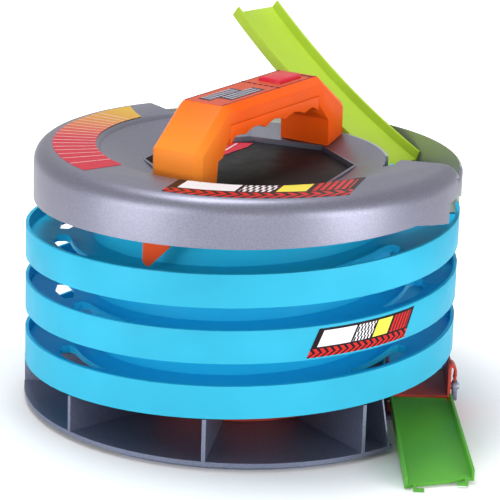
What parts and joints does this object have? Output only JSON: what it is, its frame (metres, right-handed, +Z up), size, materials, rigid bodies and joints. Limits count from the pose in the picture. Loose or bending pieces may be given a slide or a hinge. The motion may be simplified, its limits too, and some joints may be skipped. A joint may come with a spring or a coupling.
{
  "type": "toy garage",
  "caption": "Spiral toy car garage with a stacked track, parking bays, a silver cover with a carrying handle, a folding launch ramp and an exit ramp.",
  "frame": {"origin": "on the spiral's axis, at the underside of the base's middle pad", "axes": "+Z up along the spiral's axis, -Y towards the front with the parking bays, +X to the exit side"},
  "size_m": [0.2838, 0.3303, 0.2315],
  "materials": {
    "track": "gloss",
    "silver": "silver, satin",
    "base": "silver grey, satin",
    "orange": "satin",
    "red": "gloss",
    "green": "satin",
    "dark": "matt",
    "board": "matt",
    "steel": "bright"
  },
  "bodies": {
    "base": {"track_upper_front": "track", "track_upper_rear": "track", "track_middle_front": "track", "track_middle_rear": "track", "track_lower_front": "track", "track_lower_rear": "track", "top_cover": "silver", "entry_channel": "silver", "base_tray": "base", "core_drum": "orange", "handle_frame": "orange", "handle_grip": "orange", "exit_chute": "orange", "deck_panel": "dark", "speaker": "dark", "sound_board": "board", "base_screw_1": "steel", "base_screw_2": "steel", "base_screw_3": "steel", "base_screw_4": "steel", "handle_screw_1": "steel", "handle_screw_2": "steel", "button_spring": "steel", "button_cell_1": "steel", "button_cell_2": "steel", "launch_ramp_pin": "steel", "exit_ramp_pin": "steel", "exit_lever_pin": "steel"},
    "launch_ramp": {"launch_ramp": "green"},
    "start_gate": {"start_gate": "orange"},
    "push_button": {"push_button": "red"},
    "exit_ramp": {"exit_ramp": "green"},
    "exit_lever": {"exit_lever": "base"}
  },
  "joints": [
    {"name": "launch_ramp_hinge", "type": "hinge", "parent": "base", "child": "launch_ramp", "pos_m": [0.07994, 0.07906, 0.15476], "axis": [-0.6947, -0.7193, 0], "range_deg": [0, 20]},
    {"name": "start_gate_hinge", "type": "hinge", "parent": "base", "child": "start_gate", "pos_m": [-0.0485, -0.10051, 0.15], "axis": [0, 0, 1], "range_deg": [-70, 70]},
    {"name": "button_slide", "type": "slide", "parent": "base", "child": "push_button", "axis": [0, 0, -1], "range_m": [0, 0.0015], "stiffness_N_per_m": 250, "springref_m": -0.001, "deforming": ["button_spring"]},
    {"name": "exit_ramp_hinge", "type": "hinge", "parent": "base", "child": "exit_ramp", "pos_m": [0.1166, -0.047, 0.015], "axis": [-1, 0, 0], "range_deg": [0, 22]},
    {"name": "exit_lever_hinge", "type": "hinge", "parent": "base", "child": "exit_lever", "pos_m": [0.1378, -0.038, 0.0234], "axis": [1, 0, 0], "range_deg": [-45, 45]}
  ]
}
